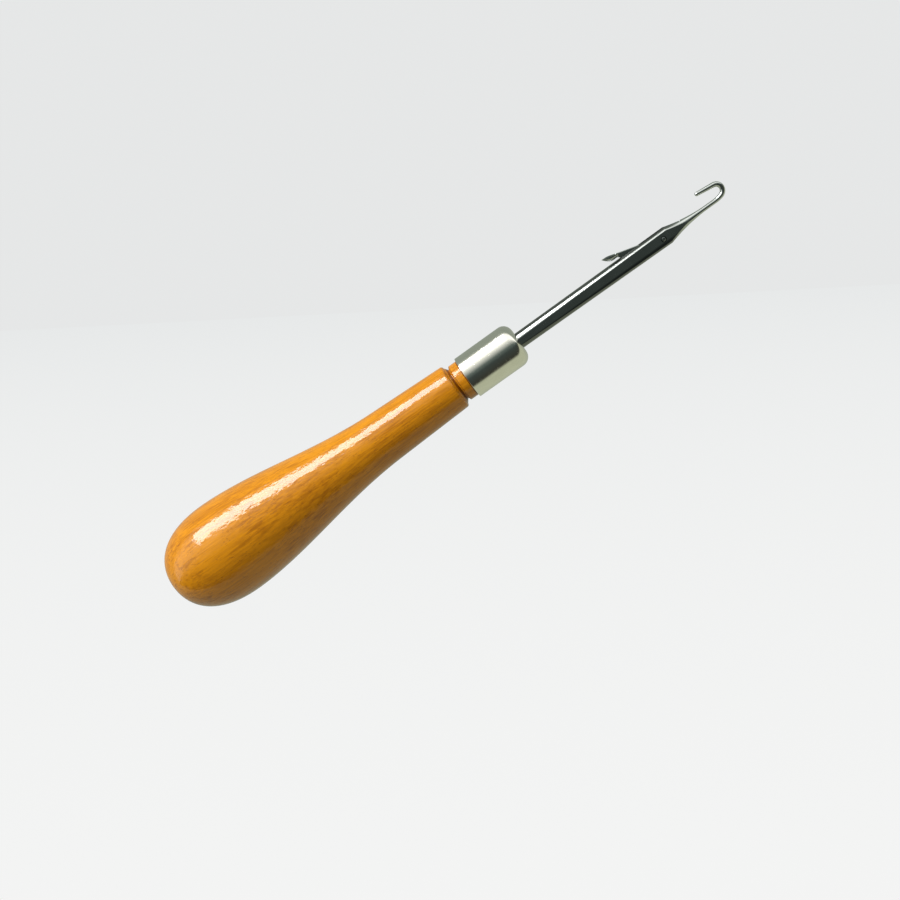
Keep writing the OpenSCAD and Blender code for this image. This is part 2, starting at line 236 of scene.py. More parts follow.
def step(tree, value, low, high):
    """0 at low, 1 at high, and a smooth rise between. With low above high it falls instead."""
    made = add(tree, "ShaderNodeMapRange", i0=value, i1=low, i2=high)
    made.interpolation_type = "SMOOTHSTEP"
    return made.outputs[0]


# %% [markdown]
# ## The light
#
# Bright metal shows only what is around it. The photograph's ferrule carries a white band, a dark band
# and a beige band, so the room has a bright panel overhead, darkness on the viewer's side, and a pale
# table below. Panels could be hung as objects, but bands painted on the surroundings, by the angle round
# the tool's axis, are simpler to read and to move. Wood takes its light softly from all round, and the
# camera itself sees only the plain wall.

# %% Paint the surroundings
WALL = (0.79, 0.80, 0.80, 1.0)
SOFT_LIGHT = (0.27, 0.27, 0.26, 1.0)
PEAK = 1.5
HALF_TURN_DEG = 180
AROUND = [  # degrees round the axis: 0 is the viewer's side, 90 is overhead, 180 is the far side
    (-180, (0.38, 0.41, 0.36)),
    (-110, (0.54, 0.57, 0.43)),
    (-52, (0.52, 0.55, 0.41)),
    (-40, (0.045, 0.045, 0.035)),
    (0, (0.05, 0.065, 0.062)),
    (18, (0.13, 0.165, 0.155)),
    (40, (0.8, 0.82, 0.78)),
    (55, (1.5, 1.5, 1.45)),
    (85, (1.5, 1.5, 1.45)),
    (92, (1.0, 1.0, 0.95)),
    (102, (0.33, 0.37, 0.32)),
    (180, (0.34, 0.38, 0.33)),
]
STOPS = [((deg / HALF_TURN_DEG + 1) / 2, tuple(c / PEAK for c in colour)) for deg, colour in AROUND]

world = bpy.data.worlds.new("room")
bpy.context.scene.world = world
world.use_nodes = True
tree = world.node_tree
tree.nodes.clear()
seen = add(tree, "ShaderNodeTexCoord").outputs["Generated"]
parts = add(tree, "ShaderNodeSeparateXYZ", Vector=seen)
to_viewer = calculate(tree, "MULTIPLY", parts.outputs[1], -1.0)
angle = calculate(tree, "ARCTAN2", parts.outputs[2], to_viewer)
share = calculate(tree, "ADD", calculate(tree, "DIVIDE", angle, 2 * math.pi), 0.5)
light = add(tree, "ShaderNodeBackground", Color=ramp(tree, share, STOPS), Strength=PEAK)
soft = add(tree, "ShaderNodeBackground", Color=SOFT_LIGHT, Strength=1.0)
wall = add(tree, "ShaderNodeBackground", Color=WALL, Strength=1.0)
ray = add(tree, "ShaderNodeLightPath").outputs
lit = add(tree, "ShaderNodeMixShader", Fac=ray["Is Diffuse Ray"], i1=light.outputs[0], i2=soft.outputs[0])
both = add(tree, "ShaderNodeMixShader", Fac=ray["Is Camera Ray"], i1=lit.outputs[0], i2=wall.outputs[0])
add(tree, "ShaderNodeOutputWorld", Surface=both.outputs[0])
bpy.context.scene.view_settings.view_transform = "Standard"
print("surroundings:", len(AROUND), "stops")

# %% [markdown]
# ## The window
#
# The lacquer's long highlight is a window's reflection. The surroundings are too dim for it, since
# lacquer sends back only about a twentieth of what it sees, so a soft rectangle of light hangs where the
# highlight asks for it.

# %% Hang the window light
def aim(name, target_mm, along, around_deg, reach_mm, size_mm, watts):
    """An area light seen from the target in a given direction: a share along X and an angle round the
    axis."""
    turn = math.radians(around_deg)
    flat = math.sqrt(1 - along * along)
    way = Vector((along, -math.cos(turn) * flat, math.sin(turn) * flat))
    lamp = bpy.data.objects.new(name, bpy.data.lights.new(name, "AREA"))
    lamp.data.shape = "RECTANGLE"
    lamp.data.size, lamp.data.size_y = (s * MM for s in size_mm)
    lamp.data.energy = watts
    lamp.location = (Vector(target_mm) + way * reach_mm) * MM
    right = Vector((1, 0, 0)) - way * way.x
    right.normalize()
    lamp.rotation_euler = Matrix((right, way.cross(right), way)).transposed().to_euler()
    bpy.context.scene.collection.objects.link(lamp)
    return lamp


window = aim(
    "window", target_mm=(-50, 0, 0), along=-0.16, around_deg=74, reach_mm=700, size_mm=(480, 330), watts=6.2
)
print("window light at", [round(v, 2) for v in window.location], "m")

# %% [markdown]
# ## The table
#
# The floor of the picture is a pale table, far below the tool, so it carries no shadow. A lit plane would
# need lights of its own, so the table glows evenly instead, a little paler near the viewer, and lights
# nothing.

# %% Lay the table
TABLE_DROP, TABLE_AHEAD, TABLE_BACK, TABLE_HALF = 350.0, 1660.0, 3000.0, 4000.0
TABLE_FAR, TABLE_NEAR = (0.80, 0.815, 0.815), (0.90, 0.905, 0.90)
PALE_REACH = 1300
below = eye - room_up * TABLE_DROP
far, near = below + room_ahead * TABLE_AHEAD, below - room_ahead * TABLE_BACK
side = room_side * TABLE_HALF
table_mesh = bpy.data.meshes.new("table")
table_corners = (near - side, near + side, far + side, far - side)
table_mesh.from_pydata([(c * MM).tolist() for c in table_corners], [], [[0, 1, 2, 3]])
table = bpy.data.objects.new("table", table_mesh)
bpy.context.scene.collection.objects.link(table)
table.visible_glossy = table.visible_diffuse = False

table_paint = bpy.data.materials.new("table_white")
table_paint.use_nodes = True
tree = table_paint.node_tree
tree.nodes.clear()
spot = add(tree, "ShaderNodeTexCoord").outputs["Object"]
away = add(tree, "ShaderNodeVectorMath", i0=spot, i1=tuple(room_ahead.tolist()))
away.operation = "DOT_PRODUCT"
far_m = float((far - side) @ room_ahead) * MM
near_m = float((far - side - room_ahead * PALE_REACH) @ room_ahead) * MM
nearness = add(tree, "ShaderNodeMapRange", i0=away.outputs["Value"], i1=far_m, i2=near_m).outputs[0]
pale = ramp(tree, nearness, [(0.0, TABLE_FAR), (1.0, TABLE_NEAR)])
glow = add(tree, "ShaderNodeEmission", Color=pale, Strength=1.0)
add(tree, "ShaderNodeOutputMaterial", Surface=glow.outputs[0])
table_mesh.materials.append(table_paint)
print("the table's far edge is", round(TABLE_AHEAD * MM, 2), "m ahead of the camera")

# %% [markdown]
# ## The handle
#
# The handle is turned from one piece of beech: a fat butt, a hollow flank, a slim neck, a crisp shoulder
# and a small groove before the collar. It could be spun from a drawn curve. Here its outline is a list of
# places and radii from formulas, and turning each one round the axis gives a ring of the skin.

# %% Sizes along the handle
MOUTH, NOSE = -6.4, 8.9
SHOULDER, BUTT, BELLY = -9.85, -95.85, -78.85
BELLY_R, NECK_R, NECK_TAPER = 12.55, 5.8, math.tan(math.radians(2.2))
FLANK, FLANK_POWER = 48.0, 0.85
BUTT_SIDE, BUTT_END = 2.3, 2.5
SHOULDER_ROUND = 0.6
TENON_R, GROOVE_R = 4.87, 4.22
TENON_END, TENON_CHAMFER, BORE_R = 6.6, 0.4, 3.0
SHOULDER_FOOT = [(-9.1, GROOVE_R + 0.03), (-9.04, GROOVE_R), (-8.99, GROOVE_R), (-8.93, GROOVE_R + 0.04)]
COLLAR = [(-8.66, TENON_R - 0.06), (-8.55, TENON_R), (-7.5, TENON_R), (-3.0, TENON_R)]
TENON = [(TENON_END - TENON_CHAMFER, TENON_R), (TENON_END, TENON_R - TENON_CHAMFER), (TENON_END, BORE_R)]


# %% Turn the handle
def flank_radius(x):
    """The fat radius runs into the slim neck along half a cosine wave."""
    share = (1 - np.cos(np.pi * np.minimum(1, (x - BELLY) / FLANK) ** FLANK_POWER)) / 2
    return BELLY_R * (1 - share) + (NECK_R + (SHOULDER - x) * NECK_TAPER) * share


def handle_outline():
    """Places and radii: a superellipse for the butt, the flank, a quarter circle over the shoulder's
    edge, and then straight lines down its face, along the groove, up to the collar and along the
    tenon."""
    a = np.linspace(0.02, np.pi / 2, 90)
    butt_x = BELLY - (BELLY - BUTT) * np.cos(a) ** (2 / BUTT_SIDE)
    butt = np.stack([butt_x, BELLY_R * np.sin(a) ** (2 / BUTT_END)], 1)
    x = np.linspace(BELLY, SHOULDER - SHOULDER_ROUND, 260)[1:]
    flank = np.stack([x, flank_radius(x)], 1)
    b = np.linspace(0, np.pi / 2, 12)[1:]
    edge_r = flank_radius(SHOULDER - SHOULDER_ROUND)
    edge_x = SHOULDER - SHOULDER_ROUND * (1 - np.sin(b))
    edge = np.stack([edge_x, edge_r - SHOULDER_ROUND * (1 - np.cos(b))], 1)
    face = [(SHOULDER + 0.02, edge_r - SHOULDER_ROUND - 0.02)]
    return np.vstack([butt, flank, edge, face, SHOULDER_FOOT, COLLAR, TENON])


def turn_round(outline, sides=256):
    """Each place and radius becomes a ring: the radius goes round the axis by cosine and sine."""
    a = np.linspace(0, 2 * np.pi, sides, endpoint=False)
    x, r = outline[:, :1], outline[:, 1:]
    return np.stack([np.broadcast_to(x, (len(outline), sides)), r * np.sin(a), r * np.cos(a)], axis=-1)


turned = skin(turn_round(handle_outline()))
handle = make_piece("turned_handle", [turned], "tool", "handle")

# %% [markdown]
# ## Honey lacquer over beech
#
# Beech is pale brown with short dark flecks along the grain. Stain and lacquer turn it honey yellow, and
# dark lines of painted shade mark the groove, the collar's foot and the ferrule's mouth. A photograph of
# wood could be wrapped round, but noise stretched along the axis never repeats and has no seam. The
# lacquer is a clear coat, with a faint ripple that breaks up the window's highlight.

# %% Textures by place
def new_material(name):
    """An empty material and its tree."""
    material = bpy.data.materials.new(name)
    material.use_nodes = True
    material.node_tree.nodes.clear()
    return material, material.node_tree


def place_mm(tree, scale=(1, 1, 1)):
    """The place on the piece in mm, stretched by a scale."""
    where = add(tree, "ShaderNodeTexCoord").outputs["Object"]
    return add(tree, "ShaderNodeMapping", Vector=where, Scale=tuple(s / MM for s in scale)).outputs[0]


def noise(tree, scale, fineness=1.0, detail=2.0, roughness=0.5):
    """Noise on the place in mm: a small scale along one axis draws it out into fibres."""
    where = place_mm(tree, scale)
    return add(
        tree, "ShaderNodeTexNoise", Vector=where, Scale=fineness, Detail=detail, Roughness=roughness
    ).outputs[0]


# %% Paint the handle
DARK_HONEY, HONEY, PALE_HONEY = (0.46, 0.155, 0.004), (0.72, 0.275, 0.005), (0.76, 0.30, 0.006, 1.0)
FLECK, GROOVE_SHADE, STREAK = (0.27, 0.085, 0.010, 1.0), (0.10, 0.022, 0.002, 1.0), (0.30, 0.09, 0.004, 1.0)
FIBRE, CLOUD, CELL, DRAWN_OUT = (0.10, 2.2, 2.2), (0.05, 0.12, 0.12), (0.8, 3.4, 3.4), (0.035, 0.9, 0.9)
PATCH, RIPPLE = (0.4, 0.4, 0.4), (0.5, 1.0, 1.0)
# Painted shade: dark lines in the groove, at the collar's foot and at the ferrule's mouth.
SHADED_LINES = [(-9.25, 0.42, 0.85), (-8.55, 0.12, 0.6), (-6.55, 0.2, 0.8)]  # place, half width and share
SHADE_CORE = 0.3

beech, tree = new_material("honey_lacquered_beech")
fibres = noise(tree, FIBRE, detail=4.0, roughness=0.6)
clouds = noise(tree, CLOUD)
honey = ramp(tree, fibres, [(0.34, DARK_HONEY), (0.62, HONEY)])
honey = blend(tree, calculate(tree, "MULTIPLY", step(tree, clouds, 0.35, 0.7), 0.6), honey, PALE_HONEY)

cells = add(tree, "ShaderNodeTexVoronoi", Vector=place_mm(tree, CELL), Scale=1.0)
core, patch = step(tree, cells.outputs["Distance"], 0.34, 0.18), step(tree, noise(tree, PATCH), 0.45, 0.6)
fleck = calculate(tree, "MULTIPLY", core, patch)
honey = blend(tree, calculate(tree, "MULTIPLY", fleck, 0.55), honey, FLECK)

# Each line is painted shade, darkest in its core and fading out to its half width.
along = add(tree, "ShaderNodeSeparateXYZ", Vector=place_mm(tree)).outputs[0]
for line_x, line_half, line_share in SHADED_LINES:
    off_line = calculate(tree, "ABSOLUTE", calculate(tree, "SUBTRACT", along, line_x))
    line_shade = calculate(tree, "MULTIPLY", step(tree, off_line, line_half, line_half * SHADE_CORE), line_share)
    honey = blend(tree, line_shade, honey, GROOVE_SHADE)

streaks = noise(tree, DRAWN_OUT, detail=3.0, roughness=0.65)
honey = blend(tree, calculate(tree, "MULTIPLY", step(tree, streaks, 0.52, 0.66), 0.45), honey, STREAK)

ripple = noise(tree, RIPPLE, fineness=1.2, detail=1.0)
bump = add(tree, "ShaderNodeBump", Height=ripple, Strength=0.35, Distance=0.2 * MM)
shader = add(tree, "ShaderNodeBsdfPrincipled", Base_Color=honey, Roughness=0.5)
tree.links.new(bump.outputs[0], shader.inputs["Coat Normal"])
shader.inputs["Specular IOR Level"].default_value = 0.0
shader.inputs["Coat Weight"].default_value = 1.0
shader.inputs["Coat Roughness"].default_value = 0.12
add(tree, "ShaderNodeOutputMaterial", Surface=shader.outputs[0])
handle.data.materials.append(beech)
print("beech:", len(tree.nodes), "nodes")

# %% [markdown]
# ## The ferrule
#
# The ferrule is a cap drawn from thin nickel-plated sheet. A plain tube would have a sharp nose, so its
# outline is a closed loop with true arcs: out along the barrel, round the nose, in to the shank's hole
# and back inside.

# %% Draw the ferrule
FERRULE_R, SHEET, NOSE_ROUND, HOLE_R = 5.5, 0.6, 2.5, 2.05
MOUTH_ROUND, HOLE_ROUND, INNER_EDGE = 0.15, 0.35, 0.1


def arc(centre, radius, start_deg, end_deg, count):
    """Points on a circle in the plane of place and radius."""
    a = np.radians(np.linspace(start_deg, end_deg, count))
    return np.stack([centre[0] + radius * np.cos(a), centre[1] + radius * np.sin(a)], 1)


def ferrule_outline():
    """The sheet's section: each bend is a true arc, and the inner skin follows the outer one at the
    sheet's thickness."""
    bend = (NOSE - NOSE_ROUND, FERRULE_R - NOSE_ROUND)
    barrel_x = np.linspace(MOUTH + 2 * MOUTH_ROUND, NOSE - NOSE_ROUND - INNER_EDGE, 40)
    return np.vstack([
        arc((MOUTH + MOUTH_ROUND, FERRULE_R - MOUTH_ROUND), MOUTH_ROUND, 180, 90, 6),
        np.stack([barrel_x, np.full(len(barrel_x), FERRULE_R)], 1),
        arc(bend, NOSE_ROUND, 90, 0, 40),
        arc((NOSE - HOLE_ROUND, HOLE_R + HOLE_ROUND), HOLE_ROUND, 0, -90, 10),
        [[NOSE - SHEET, HOLE_R], [NOSE - SHEET, bend[1]]],
        arc(bend, NOSE_ROUND - SHEET, 0, 90, 16),
        [[MOUTH + INNER_EDGE, FERRULE_R - SHEET], [MOUTH, FERRULE_R - SHEET + INNER_EDGE]],
    ])


drawn = skin(turn_round(ferrule_outline()), loop=True)
ferrule = make_piece("drawn_ferrule", [drawn], "tool", "ferrule")

# %% [markdown]
# ## Bright metals
#
# Nickel and polished steel are mirrors with fine scratches. The scratches could be modelled, but they are
# finer than any mesh, so thin noise along the axis, broken up by noise across it, roughens and dents the
# surface. The rod's round top and underside are painted darker, a painted shade for the dim surroundings
# they reflect, and a dark ring of painted shade is drawn round the rivet's end.

# %% Paint the metals
PIVOT = 50.1
# Colours of painted shade on the steel: the ring round the rivet, and the rod's round top and underside.
RIVET_RING_SHADE, PAINTED_SHADE_STEEL = (0.03, 0.032, 0.03, 1.0), (0.02, 0.022, 0.02, 1.0)
# The painted shade ring round the rivet: its inner rise and outer fall, in mm from the pivot.
RING_FROM, RING_TO = (0.47, 0.55), (0.75, 0.62)
# Painted shade on the rod: where its round top and underside darken, where that fades along the neck, and how
# much.
ROUND_TOP, ROUND_BELOW, PAINTED_SHADE_ENDS, PAINTED_SHADE_SHARE = (1.45, 1.1), (-0.5, -1.0), (57.0, 50.0), 0.72
SCRATCH_FINE, SCRATCH_CROSS, METAL_CLOUD = (0.6, 9.0, 9.0), (5.0, 0.7, 0.7), (0.25, 0.4, 0.4)
SCRATCH_ROUGHER, SCRATCH_DEPTH = 0.12, 0.02 * MM


def painted_rivet_shade(tree, shade):
    """Painted shade: a dark ring round the rivet's end, by distance from the line it turns on."""
    spot = add(tree, "ShaderNodeSeparateXYZ", Vector=place_mm(tree)).outputs
    along = calculate(tree, "POWER", calculate(tree, "SUBTRACT", spot[0], PIVOT), 2.0)
    apart = calculate(tree, "SQRT", calculate(tree, "ADD", along, calculate(tree, "POWER", spot[2], 2.0)))
    ring = calculate(tree, "MULTIPLY", step(tree, apart, *RING_FROM), step(tree, apart, *RING_TO))
    return blend(tree, ring, shade, RIVET_RING_SHADE)


def painted_rod_shade(tree, shade):
    """Painted shade: the rod's round top and underside are painted darker, standing in for the dim
    surroundings they reflect, while the pressed flats and their edges stay bright. The painted shade fades
    out along the neck."""
    spot = add(tree, "ShaderNodeSeparateXYZ", Vector=place_mm(tree)).outputs
    beside = calculate(tree, "ABSOLUTE", spot[1])
    top, below = step(tree, beside, *ROUND_TOP), step(tree, spot[2], *ROUND_BELOW)
    shaded_round = calculate(tree, "MAXIMUM", top, below)
    painted_shade_share = calculate(tree, "MULTIPLY", shaded_round, step(tree, spot[0], *PAINTED_SHADE_ENDS))
    return blend(tree, calculate(tree, "MULTIPLY", painted_shade_share, PAINTED_SHADE_SHARE), shade, PAINTED_SHADE_STEEL)


def bright_metal(name, colour, roughness, scratch, tint, riveted=False):
    """Bright metal: fine lines at two slants roughen it, and thin scratches catch the light."""
    material, tree = new_material(name)
    fine = step(tree, noise(tree, SCRATCH_FINE, detail=3.0, roughness=0.6), 0.60, 0.70)
    lines = calculate(tree, "MULTIPLY", fine, step(tree, noise(tree, SCRATCH_CROSS), 0.4, 0.6))
    height = calculate(tree, "MULTIPLY", lines, -1.0)
    bump = add(tree, "ShaderNodeBump", Height=height, Strength=scratch, Distance=SCRATCH_DEPTH)
    cloudy = step(tree, noise(tree, METAL_CLOUD), 0.3, 0.7)
    shade = blend(tree, cloudy, (*colour, 1.0), (*tint, 1.0))
    # A riveted piece gets painted shade on the rod's round top and underside and a painted shade ring round
    # the rivet.
    shade = painted_rivet_shade(tree, painted_rod_shade(tree, shade)) if riveted else shade
    rough = calculate(tree, "ADD", calculate(tree, "MULTIPLY", lines, SCRATCH_ROUGHER), roughness)
    shader = add(tree, "ShaderNodeBsdfPrincipled", Base_Color=shade, Roughness=rough, Metallic=1.0)
    tree.links.new(bump.outputs[0], shader.inputs["Normal"])
    add(tree, "ShaderNodeOutputMaterial", Surface=shader.outputs[0])
    return material


STEEL = {"colour": (0.55, 0.575, 0.56), "roughness": 0.19, "scratch": 0.2, "tint": (0.50, 0.525, 0.51)}
nickel = bright_metal("bright_nickel", (0.78, 0.77, 0.70), 0.13, 0.3, (0.74, 0.73, 0.66))
steel = bright_metal("polished_steel", **STEEL)
riveted_steel = bright_metal("riveted_steel", **STEEL, riveted=True)
ferrule.data.materials.append(nickel)
print("metals:", nickel.name, steel.name, riveted_steel.name)

# %% [markdown]
# ## The shank and the hook
#
# The shank is round rod pressed flat on two sides, then drawn down to wire and bent into the hook. It
# could be cut from solids, but then its soft pressed edges would need bevels. Here one line of rings runs
# from end to end. A ring is a circle cut by two lines, and a soft minimum eases the corner between them.
# The milled slot is a push: the middle of each ring's top is lowered to the slot's floor.

# %% Sizes of the shank and its line
NECK_X, STEM_X, BEND_X = 51.6, 62.6, 64.85
ROD_R, BAR_TOP, WIRE_R, BEND_R, NECK_POWER = 2.0, 2.2, 0.56, 0.62, 1.9
LEAD_R, LEAD_DEG, HOOK_R, ARM_RISE, ARM, TIP_R = 7.0, 16.0, 1.6, 6.8, 4.3, 0.5
LAST_TIP_DEG = 84
OPEN_DEG, CLOSED_DEG = 15.1, 19.03
ROOT_HALF, NECK_HALF, FLAT_FADE, NECK_FLAT = 1.83, 1.6, 6.0, 5.2
SLOT_LIP, SLOT_FRONT, SLOT_HALF, SLOT_SHARE, EDGE_BAND = 39.583, 59.087, 0.48, 0.62, 0.08
FLOOR_R, BLADE_ROOM, RAMP_EXTRA_DEG = 1.1, 0.85, 3
FREE = 9.0  # a width or height that cuts nothing
STATIONS = [  # start, end and count of the rings, closest along the slot and the neck
    (3, 39, 70), (39.1, 49, 110), (49.03, NECK_X, 60), (NECK_X + 0.06, STEM_X, 130), (STEM_X + 0.2, BEND_X, 8)
]


# %% The rod's line and section
def bar_radius(x):
    """The pressed bar grows a little from the ferrule's nose to the neck."""
    return ROD_R + (BAR_TOP - ROD_R) * (x - NOSE) / (NECK_X - NOSE)


def neck_radius(t):
    """The neck falls in a hollow curve from the bar to the wire."""
    return WIRE_R + (BAR_TOP - WIRE_R) * np.clip(1 - t, 0, 1) ** NECK_POWER


def hook_line():
    """Place, height, heading in degrees and radius at each station: a straight rod, two bends as arcs, a
    straight arm and a rounded tip whose radius falls as a cosine."""
    x = np.concatenate([np.linspace(*span) for span in STATIONS])
    past_nose = np.where(x < NECK_X, bar_radius(x), neck_radius((x - NECK_X) / (STEM_X - NECK_X)))
    straight = np.stack([x, 0 * x, 0 * x, np.where(x < NOSE, ROD_R, past_nose)], 1)
    t = np.linspace(0, 1, 14)[1:]
    a = math.radians(LEAD_DEG) * t
    lead_r = WIRE_R + (BEND_R - WIRE_R) * t
    lead = np.stack([BEND_X + LEAD_R * np.sin(a), LEAD_R * (1 - np.cos(a)), np.degrees(a), lead_r], 1)
    lead_rad = math.radians(LEAD_DEG)
    centre = lead[-1, :2] + HOOK_R * np.array([-math.sin(lead_rad), math.cos(lead_rad)])
    arm_deg = 180 - ARM_RISE
    b = np.radians(np.linspace(LEAD_DEG, arm_deg, 64)[1:])
    bend_x, bend_z = centre[0] + HOOK_R * np.sin(b), centre[1] - HOOK_R * np.cos(b)
    bend = np.stack([bend_x, bend_z, np.degrees(b), 0 * b + BEND_R], 1)
    way = np.array([-math.cos(math.radians(ARM_RISE)), math.sin(math.radians(ARM_RISE))])
    d = np.linspace(0, 1, 20)[1:]
    arm_x, arm_z = (bend[-1, :2] + ARM * d[:, None] * way).T
    arm = np.stack([arm_x, arm_z, 0 * d + arm_deg, BEND_R + (TIP_R - BEND_R) * d], 1)
    c = np.radians(np.linspace(0, LAST_TIP_DEG, 12)[1:])
    tip_x, tip_z = (arm[-1, :2] + TIP_R * np.sin(c)[:, None] * way).T
    tip = np.stack([tip_x, tip_z, 0 * c + arm_deg, TIP_R * np.cos(c)], 1)
    return np.vstack([straight, lead, bend, arm, tip])


def flat_half(x):
    """Half the width across the flats, which fade in before the nose and run out along the neck."""
    neck_end = float(neck_radius(np.array(NECK_FLAT / (STEM_X - NECK_X))))
    fade = ROD_R - (ROD_R - ROOT_HALF) * np.clip((x - NOSE + FLAT_FADE) / FLAT_FADE, 0, 1)
    bar = ROOT_HALF - (ROOT_HALF - NECK_HALF) * (x - NOSE) / (NECK_X - NOSE)
    neck = NECK_HALF + (neck_end - NECK_HALF) * (x - NECK_X) / NECK_FLAT
    return np.select([x < NOSE, x < NECK_X, x < NECK_X + NECK_FLAT], [fade, bar, neck], FREE)


def slot_floor(x):
    """Height of the slot's floor: a ramp down from the rear lip, a round bottom under the eye, and a ramp
    out."""
    ramp_rad = math.radians(OPEN_DEG + RAMP_EXTRA_DEG)
    drop = BLADE_ROOM / math.cos(math.radians(CLOSED_DEG))
    corners_x = [SLOT_LIP, PIVOT - FLOOR_R * math.sin(ramp_rad), PIVOT, SLOT_FRONT]
    corners_z = [float(bar_radius(SLOT_LIP)), -FLOOR_R * math.cos(ramp_rad), -drop, BAR_TOP]
    line = np.interp(x, corners_x, corners_z)
    bowl = -np.sqrt(np.maximum(FLOOR_R ** 2 - (x - PIVOT) ** 2, 0))
    deep = np.where(np.abs(x - PIVOT) < FLOOR_R, np.minimum(line, bowl), line)
    return np.where((x < SLOT_LIP) | (x > SLOT_FRONT), FREE, deep)


# %% Shape the shank and the hook
def hook_grid(sides=88, soft=0.035, floor_steps=6, edge_steps=8):
    """Rings of the rod. A ring starts at the top middle: across the slot's floor, up its wall, over its
    rounded edge, round the arc and the flat to the bottom, and back the same way on the other side."""
    x, z0, heading, radius = hook_line().T
    on_axis = (heading == 0) & (x <= BEND_X)
    half = np.where(on_axis, flat_half(x), FREE)[:, None]
    slot = np.minimum(SLOT_HALF, SLOT_SHARE * radius)[:, None]
    up_edge = np.linspace(0, 1, edge_steps)[1:]
    inner, edge = slot * np.linspace(0, 1, floor_steps), slot * (1 + EDGE_BAND / SLOT_HALF * up_edge)
    y_top, r = np.hstack([inner, edge]), radius[:, None]
    start = np.arcsin(y_top[:, -1:] / r)
    turn = start + (np.pi - start) * np.linspace(0, 1, sides)[1:]
    y_round, z_round = r * np.sin(turn), r * np.cos(turn)
    blur = soft * np.minimum(1, r / ROD_R)
    pressed = -blur * np.logaddexp(-y_round / blur, -half / blur)
    y_flat = np.where((half < FREE) & (y_round > half / 2), pressed, y_round)
    top = np.sqrt(np.maximum(r ** 2 - y_top ** 2, 0))
    floor = np.where(on_axis, slot_floor(x), FREE)[:, None]
    rise = np.concatenate([np.zeros(floor_steps), 1 - (1 - up_edge) ** 3])
    cut = np.minimum(floor, top)
    z_top = cut + (top - cut) * rise
    y_half, z_half = np.hstack([y_top, y_flat]), np.hstack([z_top, z_round])
    y, z = np.hstack([y_half, -y_half[:, -2:0:-1]]), np.hstack([z_half, z_half[:, -2:0:-1]])
    a = np.radians(heading)[:, None]
    return np.stack([x[:, None] - z * np.sin(a), y, z0[:, None] + z * np.cos(a)], axis=-1)


hook = make_piece("shank_and_hook", [skin(hook_grid())], "tool", "hook", sharp_deg=30)
hook.data.materials.append(riveted_steel)

# %% [markdown]
# ## The latch
#
# The latch is a flat blade with an eye, and a boat-shaped spoon that hides the hook's tip when it closes.
# Joining a cup to a bar by hand leaves a crease, so two families of curves, a rounded bar and a round
# cup, are mixed along the blade by one smooth share.

# %% Sizes of the latch
SEAT, SPOON_BACK, SPOON_FRONT, SPOON_POWER = 12.768, 1.9, 2.4, 1.9
SPOON_R, SPOON_Z, CUP_R, END_WALL = 1.05, 0.42, 0.77, 0.46
BLADE_HALF, BLADE_UP, BLADE_SQUARE = 0.4, 0.65, 0.25
BLADE_START, BLADE_END, SPOON_START, POINT_CUT = 0.7, 10.2, 10.3, 0.02
LEAST_R, MOST_LIFT = 0.02, 0.95
RIM_X, RIM_Z = [SEAT - 1.9, SEAT - 1.6, SEAT + 0.8, SEAT + 2.4], [0.65, 0.58, 0.58, 0.36]
BLEND_BEFORE, BLEND_LENGTH, CUP_BLEND = 0.35, 1.0, 0.3
WALL_FROM, WALL_FLARE, WALL_STEP = 0.86, 0.5, 0.02
EYE_HOLE, EYE_R, EYE_EDGE = 0.44, 0.90, 0.06


def ease(t):
    """A smooth rise from 0 to 1."""
    t = np.clip(t, 0, 1)
    return t * t * (3 - 2 * t)


# %% Shape the latch in its own frame
def latch_outside(x, around):
    """The blade's and the spoon's outer curves, from one rim round the bottom to the other. The spoon is
    part of a circle up to its rim, and the blade is a rounded oblong."""
    rear, front = np.clip((x - SEAT + SPOON_BACK) / SPOON_BACK, 0, 1), np.clip((x - SEAT) / SPOON_FRONT, 0, 1)
    swell = BLADE_UP + (SPOON_R - BLADE_UP) * (1 - np.cos(np.pi * rear)) / 2
    radius = np.maximum(np.where(x < SEAT, swell, SPOON_R * (1 - front ** SPOON_POWER)), LEAST_R)
    lift = np.clip((np.interp(x, RIM_X, RIM_Z) - SPOON_Z) / radius, -MOST_LIFT, MOST_LIFT)
    spoon = ease((x - (SEAT - SPOON_BACK - BLEND_BEFORE)) / BLEND_LENGTH)[:, None]
    start, t = np.arcsin(lift)[:, None], np.linspace(0, 1, around)
    a = start + (-np.pi - 2 * start) * t
    round_y, round_z = radius[:, None] * np.cos(a), SPOON_Z + radius[:, None] * np.sin(a)
    b = np.pi / 4 - (3 * np.pi / 2) * t
    bar_y = BLADE_HALF * np.sign(np.cos(b)) * np.abs(np.cos(b)) ** BLADE_SQUARE
    bar_z = BLADE_UP * np.sign(np.sin(b)) * np.abs(np.sin(b)) ** BLADE_SQUARE
    return round_y * spoon + bar_y * (1 - spoon), round_z * spoon + bar_z * (1 - spoon)


